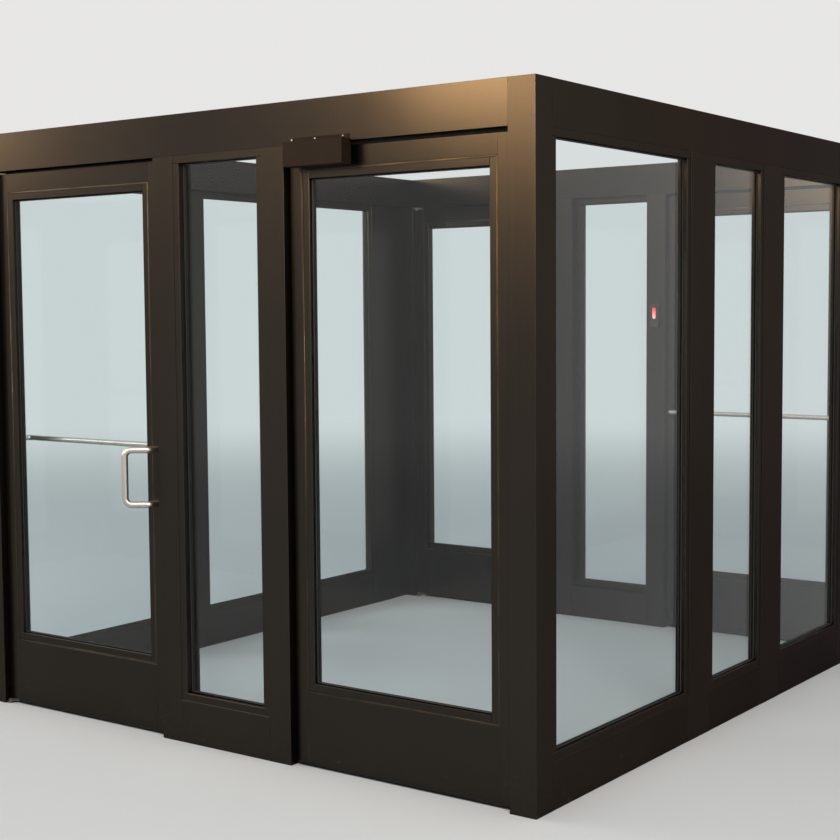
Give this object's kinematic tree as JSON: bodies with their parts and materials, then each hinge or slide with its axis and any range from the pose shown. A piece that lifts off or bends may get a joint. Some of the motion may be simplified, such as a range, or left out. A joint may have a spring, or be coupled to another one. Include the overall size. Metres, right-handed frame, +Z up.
{
  "type": "security vestibule",
  "caption": "Free-standing glazed lobby of dark tube framing, with swinging glass doors and a fixed sidelight front and rear, and fixed glazing down both sides.",
  "frame": {"origin": "centre of the plan, on the floor", "axes": "+X to the right along the front wall, +Y from the front wall to the rear wall, +Z up"},
  "size_m": [2.661, 3.1254, 2.315],
  "materials": {
    "dark_bronze": "dark bronze anodised, satin",
    "clear_glass": "clear",
    "satin_aluminium": "satin anodised",
    "pivot_steel": "brushed",
    "black_plastic": "matt"
  },
  "bodies": {
    "frame": {"front_right_corner_post": "dark_bronze", "front_left_corner_post": "dark_bronze", "rear_right_corner_post": "dark_bronze", "rear_left_corner_post": "dark_bronze", "front_header": "dark_bronze", "rear_header": "dark_bronze", "right_header": "dark_bronze", "left_header": "dark_bronze", "door_mullions": "dark_bronze", "side_mullions": "dark_bronze", "sidelight_sills": "dark_bronze", "side_sills": "dark_bronze", "closure_panels": "dark_bronze", "sidelight_stops": "dark_bronze", "side_stops": "dark_bronze", "sidelight_glass": "clear_glass", "side_glass": "clear_glass", "lock_housings": "dark_bronze", "pivot_brackets": "pivot_steel", "card_reader": "black_plastic"},
    "front_left_leaf": {"front_left_stiles": "dark_bronze", "front_left_rails": "dark_bronze", "front_left_glass": "clear_glass", "front_left_pivot_arms": "pivot_steel", "front_left_handles": "satin_aluminium"},
    "front_right_leaf": {"front_right_stiles": "dark_bronze", "front_right_rails": "dark_bronze", "front_right_glass": "clear_glass", "front_right_pivot_arms": "pivot_steel", "front_right_armature": "pivot_steel"},
    "rear_left_leaf": {"rear_left_stiles": "dark_bronze", "rear_left_rails": "dark_bronze", "rear_left_glass": "clear_glass", "rear_left_pivot_arms": "pivot_steel", "rear_left_armature": "pivot_steel"},
    "rear_right_leaf": {"rear_right_stiles": "dark_bronze", "rear_right_rails": "dark_bronze", "rear_right_glass": "clear_glass", "rear_right_pivot_arms": "pivot_steel", "rear_right_handles": "satin_aluminium"}
  },
  "joints": [
    {"name": "front_left_swing", "type": "hinge", "parent": "frame", "child": "front_left_leaf", "pos_m": [-1.2185, -1.46075, 0.017], "axis": [0, 0, -1], "range_deg": [0, 90]},
    {"name": "front_right_swing", "type": "hinge", "parent": "frame", "child": "front_right_leaf", "pos_m": [1.2185, -1.39925, 0.017], "axis": [0, 0, -1], "range_deg": [0, 90]},
    {"name": "rear_left_swing", "type": "hinge", "parent": "frame", "child": "rear_left_leaf", "pos_m": [-1.2185, 1.39925, 0.017], "axis": [0, 0, -1], "range_deg": [0, 90]},
    {"name": "rear_right_swing", "type": "hinge", "parent": "frame", "child": "rear_right_leaf", "pos_m": [1.2185, 1.46075, 0.017], "axis": [0, 0, -1], "range_deg": [0, 90]}
  ]
}
